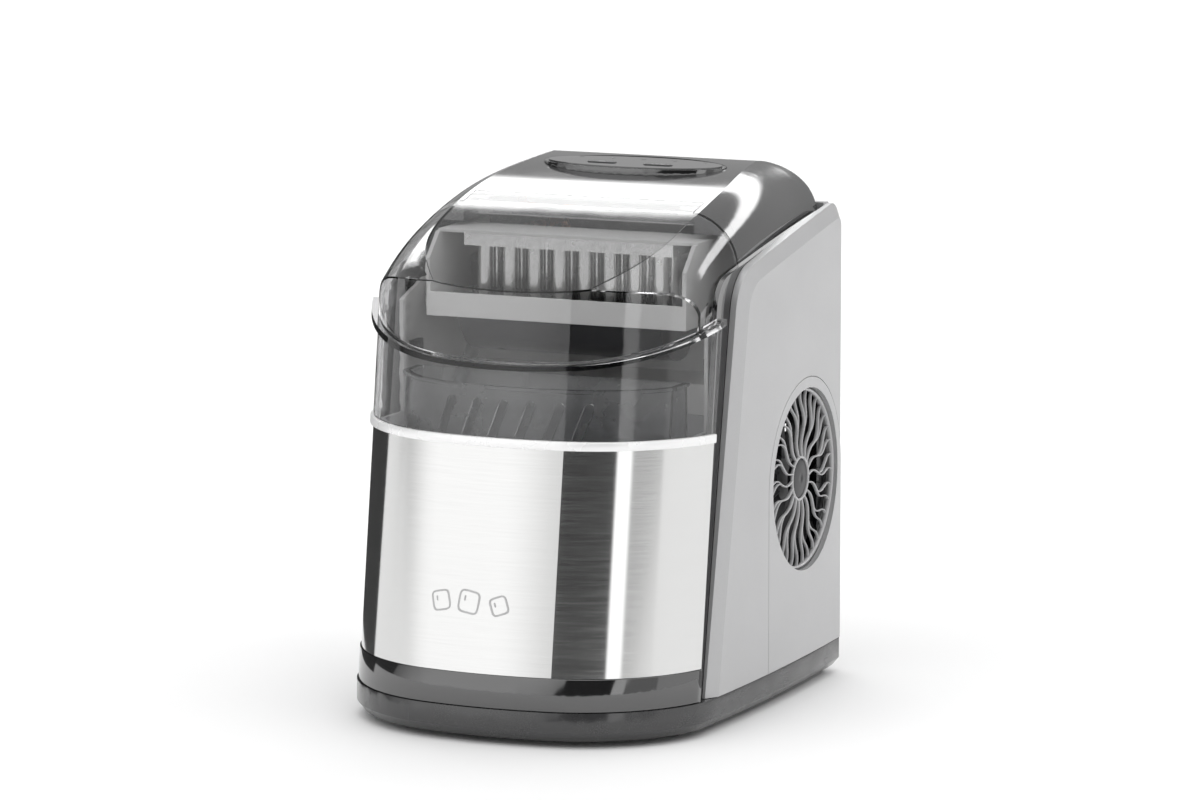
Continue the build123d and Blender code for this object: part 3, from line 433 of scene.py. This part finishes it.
def bar(path, wide, high, up, sides=10):
    """A round-sided bar along a path of points, wide across and high along up, with domed ends."""
    path = [Vector(p) for p in path]
    up = Vector(up)
    stations = []
    for k, point in enumerate(path):
        along = (path[min(k + 1, len(path) - 1)] - path[max(k - 1, 0)]).normalized()
        stations.append((point, along, 1.0))
    ends = []
    for (point, along, _), sign in ((stations[0], -1), (stations[-1], 1)):
        ends.append([(point + along * (sign * wide / 2 * math.sin(a)), along, math.cos(a))
                     for a in map(math.radians, END_ANGLES)])
    stations = ends[0][::-1] + stations + ends[1]
    points, faces = [], []
    for point, along, scale in stations:
        side = along.cross(up).normalized()
        for k in range(sides):
            turn = 2 * math.pi * k / sides
            across = side * (wide / 2 * scale * math.cos(turn))
            points.append(point + across + up * (high / 2 * scale * math.sin(turn)))
    count = len(stations)
    for row in range(count - 1):
        for k in range(sides):
            next_k = (k + 1) % sides
            a, b = row * sides, (row + 1) * sides
            faces.append([a + k, b + k, b + next_k, a + next_k])
    faces.append(list(range(sides)))
    faces.append([(count - 1) * sides + k for k in reversed(range(sides))])
    return points, faces


def lathe(profile, centre, segments=96):
    """A closed (radius, x) profile turned about a line along X through the centre."""
    points, faces = [], []
    for k in range(segments):
        turn = 2 * math.pi * k / segments
        for radius, x in profile:
            y = centre[0] + radius * math.cos(turn)
            z = centre[1] + radius * math.sin(turn)
            points.append(Vector((x, y, z)))
    size = len(profile)
    for k in range(segments):
        a, b = k * size, (k + 1) % segments * size
        for m in range(size):
            next_m = (m + 1) % size
            faces.append([a + m, a + next_m, b + next_m, b + m])
    return points, faces


def ring_profile(radius, x, half_wide, half_high, steps=12):
    """An oval section for a ring, round the point (radius, x)."""
    turns = [2 * math.pi * k / steps for k in range(steps)]
    return [(radius + half_wide * math.cos(t), x + half_high * math.sin(t)) for t in turns]


# ---------------------------------------------------------------- fan grille
GRILLE = (72.5, 127.5)      # y and z of the grille's middle
GRILLE_R = 53.6
HUB_R = 12.6
FORK_R = 30.0               # where each spoke forks in two
SPOKES = 18
WAVE_ANGLE = 5.5            # how far a spoke swings to each side at the hub, in degrees
WAVE_LENGTH = 29.0          # along the radius
DOME_X = 108.9              # x of the domed grille at its middle
DOME_DROP = 1.2             # how much lower its x is at the rim
PATH_STEPS = 14


def spoke_path(start, end, angle, drift):
    """A wavy path from one radius to another that drifts sideways by an angle as it goes out."""
    path = []
    for k in range(PATH_STEPS + 1):
        share = k / PATH_STEPS
        radius = start + (end - start) * share
        wave = WAVE_ANGLE * math.sin(2 * math.pi * (radius - HUB_R) / WAVE_LENGTH)
        wave *= (HUB_R / radius) ** 0.35
        turn = math.radians(angle + wave + drift * math.sin(share * math.pi / 2))
        dome = DOME_X - DOME_DROP * (radius / GRILLE_R) ** 2
        path.append((dome, GRILLE[0] + radius * math.cos(turn), GRILLE[1] + radius * math.sin(turn)))
    return path


def fan_grille():
    """Wavy spokes that fork on their way from the hub to the rim, with a domed black hub."""
    shapes = [lathe(ring_profile(GRILLE_R - 0.6, 108.2, 1.0, 1.7), GRILLE),
              lathe(ring_profile(HUB_R, 109.0, 0.75, 1.0), GRILLE)]
    for k in range(SPOKES):
        angle = 360 * k / SPOKES
        shapes.append(bar(spoke_path(HUB_R - 0.4, FORK_R, angle, 0.0), 0.95, 2.4, (1, 0, 0)))
        for drift in (4.8, -5.2):
            shapes.append(bar(spoke_path(FORK_R - 0.3, GRILLE_R - 0.8, angle, drift), 0.85, 2.2, (1, 0, 0)))
    grille = piece("fan_grille_spokes", shapes, "grille_grey")
    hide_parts("fan_grille")
    dome = [(0.02, 109.9), (4.0, 109.8), (8.0, 109.5), (10.8, 109.1),
            (12.2, 108.4), (12.2, 106.0), (0.02, 106.0)]
    hub = piece("fan_grille_hub", [lathe(dome, GRILLE, 48)], "black_plastic")
    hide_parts("fan_grille")


# ---------------------------------------------------------------- marks and icons
STEEL_R = 227.5 - 1.6       # radius of the steel's middle arc, in plan
STEEL_MIDDLE_Y = -142.0 + 227.5     # y of that arc's centre at the steel's lower edge
LEAN = 0.141                # the front leans back by this much for each millimetre of height
SEAM_Z = 21.0               # where the lean starts, at the steel's lower edge
MARK_STEPS = 48


def front_point(x, z, out=0.0):
    """A point of the steel front at x and z, that far out from its surface."""
    y = STEEL_MIDDLE_Y - math.sqrt(STEEL_R ** 2 - x ** 2) + LEAN * (z - SEAM_Z) - out
    return Vector((x, y, z))


def mark_point(x, z, turn, a, b):
    """A point of the mark: a and b from its middle at x and z, turned, just proud of the steel."""
    return front_point(x + a * math.cos(turn) - b * math.sin(turn),
                       z + a * math.sin(turn) + b * math.cos(turn), 0.02)


def front_mark():
    """A generic mark on the steel: three ice cubes, drawn as rounded squares with a glint in each."""
    shapes = []
    for x, z, half, lean in ((-31, 79.5, 5.4, 12), (-13, 80.0, 6.2, -9), (6, 79.0, 5.0, 20)):
        turn = math.radians(lean)
        outline = []
        for k in range(MARK_STEPS + 1):
            t = 2 * math.pi * k / MARK_STEPS
            reach = half / (abs(math.cos(t)) ** 5 + abs(math.sin(t)) ** 5) ** 0.2
            outline.append(mark_point(x, z, turn, reach * math.cos(t), reach * math.sin(t)))
        shapes.append(bar(outline, 1.3, 0.12, (0, -1, 0), sides=6))
        glint = [mark_point(x, z, turn, -half * 0.45, half * 0.1 + half * 0.09 * k) for k in range(5)]
        shapes.append(bar(glint, 1.1, 0.12, (0, -1, 0), sides=6))
    piece("front_mark", shapes, "etched")


def arc_path(x, y, z, radius, first, last, count=20):
    """Points of a level arc, by angles in degrees from +X."""
    turns = [math.radians(first + (last - first) * k / (count - 1)) for k in range(count)]
    return [(x + radius * math.cos(t), y + radius * math.sin(t), z) for t in turns]


def key_icons():
    """A standby sign on one key, and three sizes of cube on the other."""
    for node, body in (("power_button", "power_key"), ("select_button", "select_key")):
        low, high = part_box(node)
        x, y, z = (low[0] + high[0]) / 2 / MM, (low[1] + high[1]) / 2 / MM, high[2] / MM
        if body == "power_key":
            stem = [(x, y + rise, z) for rise in (0.4, 1.2, 2.0)]
            shapes = [bar(arc_path(x, y, z, 1.6, 125, 415), 0.35, 0.06, (0, 0, 1), sides=6),
                      bar(stem, 0.35, 0.06, (0, 0, 1), sides=6)]
        else:
            shapes = []
            for k in range(3):
                half = 0.55 + 0.28 * k
                at = x - 3.2 + 3.0 * k
                ring = [(at - half, y - half, z), (at + half, y - half, z), (at + half, y + half, z),
                        (at - half, y + half, z), (at - half, y - half, z)]
                shapes.append(bar(ring, 0.3, 0.06, (0, 0, 1), sides=6))
        piece(body + "_icon", shapes, "print_white", body)


# ---------------------------------------------------------------- soft edges on the CAD pieces
SOFT_EDGES = {"base_pan": 0.6, "front_kick_band": 0.4, "trim_band": 0.5, "control_bezel": 0.4,
              "evaporator_bracket": 0.3, "compartment_liner": 0.4, "power_button": 0.25,
              "select_button": 0.25, "rubber_feet": 0.5}
WELD_REACH = 0.01           # joins the vertices that neighbouring CAD faces share


def soften_edges():
    """Small round-overs, so that edges catch the light as moulded ones do."""
    for name, width in SOFT_EDGES.items():
        node = NODES[name]
        weld = node.modifiers.new("weld", "WELD")
        weld.merge_threshold = WELD_REACH * MM
        bevel = node.modifiers.new("bevel", "BEVEL")
        bevel.width = width * MM
        bevel.segments = 2
        bevel.limit_method = "ANGLE"
        bevel.angle_limit = math.radians(38)
        bevel.harden_normals = True


# ---------------------------------------------------------------- studio
def studio_floor():
    """A pale seamless floor that runs out past every view."""
    size = 40.0     # metres
    mesh = bpy.data.meshes.new("studio_floor")
    corners = [(-size, -size, 0), (size, -size, 0), (size, size, 0), (-size, size, 0)]
    mesh.from_pydata(corners, [], [(0, 1, 2, 3)])
    floor = bpy.data.objects.new("studio_floor", mesh)
    bpy.context.scene.collection.objects.link(floor)
    look = Look("studio_floor", (0.95, 0.95, 0.95), 0.8)
    look.shade(look.noise(0.8, 2.0), 0.01)
    mesh.materials.append(look.material)


def studio_flag():
    """A dark board on the left, which only reflections see: it darkens the steel's left edge."""
    radius = 0.30
    height = 0.30
    steps = 24
    points, faces = [], []
    for k in range(steps + 1):
        turn = math.radians(-152 + 73 * k / steps)
        x = radius * math.sin(turn)
        y = -radius * math.cos(turn)
        points += [(x, y, 0.001), (x, y, height)]
    for k in range(steps):
        faces.append((2 * k, 2 * k + 2, 2 * k + 3, 2 * k + 1))
    mesh = bpy.data.meshes.new("studio_flag")
    mesh.from_pydata(points, [], faces)
    flag = bpy.data.objects.new("studio_flag", mesh)
    bpy.context.scene.collection.objects.link(flag)
    look = Look("studio_flag", (0.06, 0.06, 0.06), 0.9)
    look.shade(look.noise(0.3, 2.0), 0.05)
    mesh.materials.append(look.material)
    flag.visible_camera = False
    flag.visible_diffuse = False
    flag.visible_shadow = False
    flag.visible_transmission = False


def studio_world():
    """Soft boxes and dark flags round the object, painted on the world by direction."""
    world = bpy.data.worlds.new("studio")
    bpy.context.scene.world = world
    world.use_nodes = True
    tree = world.node_tree
    nodes = tree.nodes
    background = nodes["Background"]
    background.inputs["Color"].default_value = (1.0, 1.0, 1.0, 1.0)

    def math_node(operation, *values):
        node = nodes.new("ShaderNodeMath")
        node.operation = operation
        for socket, value in zip(node.inputs, values):
            if isinstance(value, (int, float)):
                socket.default_value = value
            else:
                tree.links.new(value, socket)
        return node.outputs["Value"]

    def smooth(value, low, high):
        node = nodes.new("ShaderNodeMapRange")
        node.interpolation_type = "SMOOTHSTEP"
        node.inputs["From Min"].default_value = low
        node.inputs["From Max"].default_value = high
        tree.links.new(value, node.inputs["Value"])
        return node.outputs["Result"]

    coordinate = nodes.new("ShaderNodeTexCoord")
    split = nodes.new("ShaderNodeSeparateXYZ")
    tree.links.new(coordinate.outputs["Generated"], split.inputs["Vector"])
    x, y, z = split.outputs
    turn = math_node("MULTIPLY", math_node("ARCTAN2", x, math_node("MULTIPLY", y, -1.0)), 180 / math.pi)
    rise = math_node("MULTIPLY", math_node("ARCSINE", z), 180 / math.pi)

    def window(left, right, low, high, soft):
        """1 inside a span of directions, in degrees, and 0 outside it, with soft edges."""
        middle = (left + right) / 2
        half = (right - left) / 2
        away = math_node("ABSOLUTE", math_node("WRAP", math_node("SUBTRACT", turn, middle), 180.0, -180.0))
        across = smooth(away, half + soft, half - soft)
        up = math_node("ABSOLUTE", math_node("SUBTRACT", rise, (low + high) / 2))
        along = smooth(up, (high - low) / 2 + soft, (high - low) / 2 - soft)
        return math_node("MULTIPLY", across, along)

    def layer(below, mask, level):
        """Light of that level over what is below, where the mask is 1."""
        kept = math_node("MULTIPLY", below, math_node("SUBTRACT", 1.0, mask))
        return math_node("ADD", kept, math_node("MULTIPLY", mask, level))

    light = smooth(rise, -20.0, 70.0)
    light = math_node("ADD", math_node("MULTIPLY", light, 0.4), 1.05)
    ramp = math_node("ADD", math_node("MULTIPLY", smooth(turn, -90.0, -43.0), 1.05), 0.35)
    ramp = math_node("SUBTRACT", ramp, math_node("MULTIPLY", smooth(turn, -22.0, 6.0), 0.6))
    light = layer(light, window(-79, -3, -60, 45, 1.5), ramp)
    light = layer(light, window(-150, -79, -60, 45, 2.0), 0.09)
    light = layer(light, window(-3, 37.5, -60, 40, 1.2), 0.06)
    light = layer(light, window(37.5, 49, -60, 45, 1.0), 1.7)
    light = layer(light, window(49, 74, -60, 45, 2.0), 0.58)
    light = layer(light, window(74, 114, -60, 45, 2.0), 1.05)
    light = layer(light, window(125, 245, -10, 55, 6.0), 0.45)
    light = layer(light, window(135, 235, 25, 34, 1.2), 5.0)

    seen = nodes.new("ShaderNodeLightPath")
    level = layer(light, seen.outputs["Is Camera Ray"], 1.0)
    tree.links.new(level, background.inputs["Strength"])


def photo_camera():
    """The camera stands to the front right of the object and a little above it."""
    turn, rise, distance = math.radians(23.4823), math.radians(9.5734), 3.74035
    aim_turn, aim_fall = math.radians(23.3158), math.radians(9.1480)
    target = Vector((0.0, 0.0, 0.150))
    data = bpy.data.cameras.new("photo_camera")
    data.sensor_width = 36.0
    data.lens = 191.2
    camera = bpy.data.objects.new("photo_camera", data)
    bpy.context.scene.collection.objects.link(camera)
    away = Vector((math.sin(turn) * math.cos(rise), -math.cos(turn) * math.cos(rise), math.sin(rise)))
    camera.location = target + distance * away
    camera.rotation_euler = (math.pi / 2 - aim_fall, 0.0, aim_turn)
    bpy.context.scene.camera = camera


# ---------------------------------------------------------------- the whole scene
photo_camera()
studio_floor()
studio_flag()
studio_world()
dress_nodes()
soften_edges()
fan_grille()
front_mark()
key_icons()
bpy.context.scene.view_settings.view_transform = "Standard"
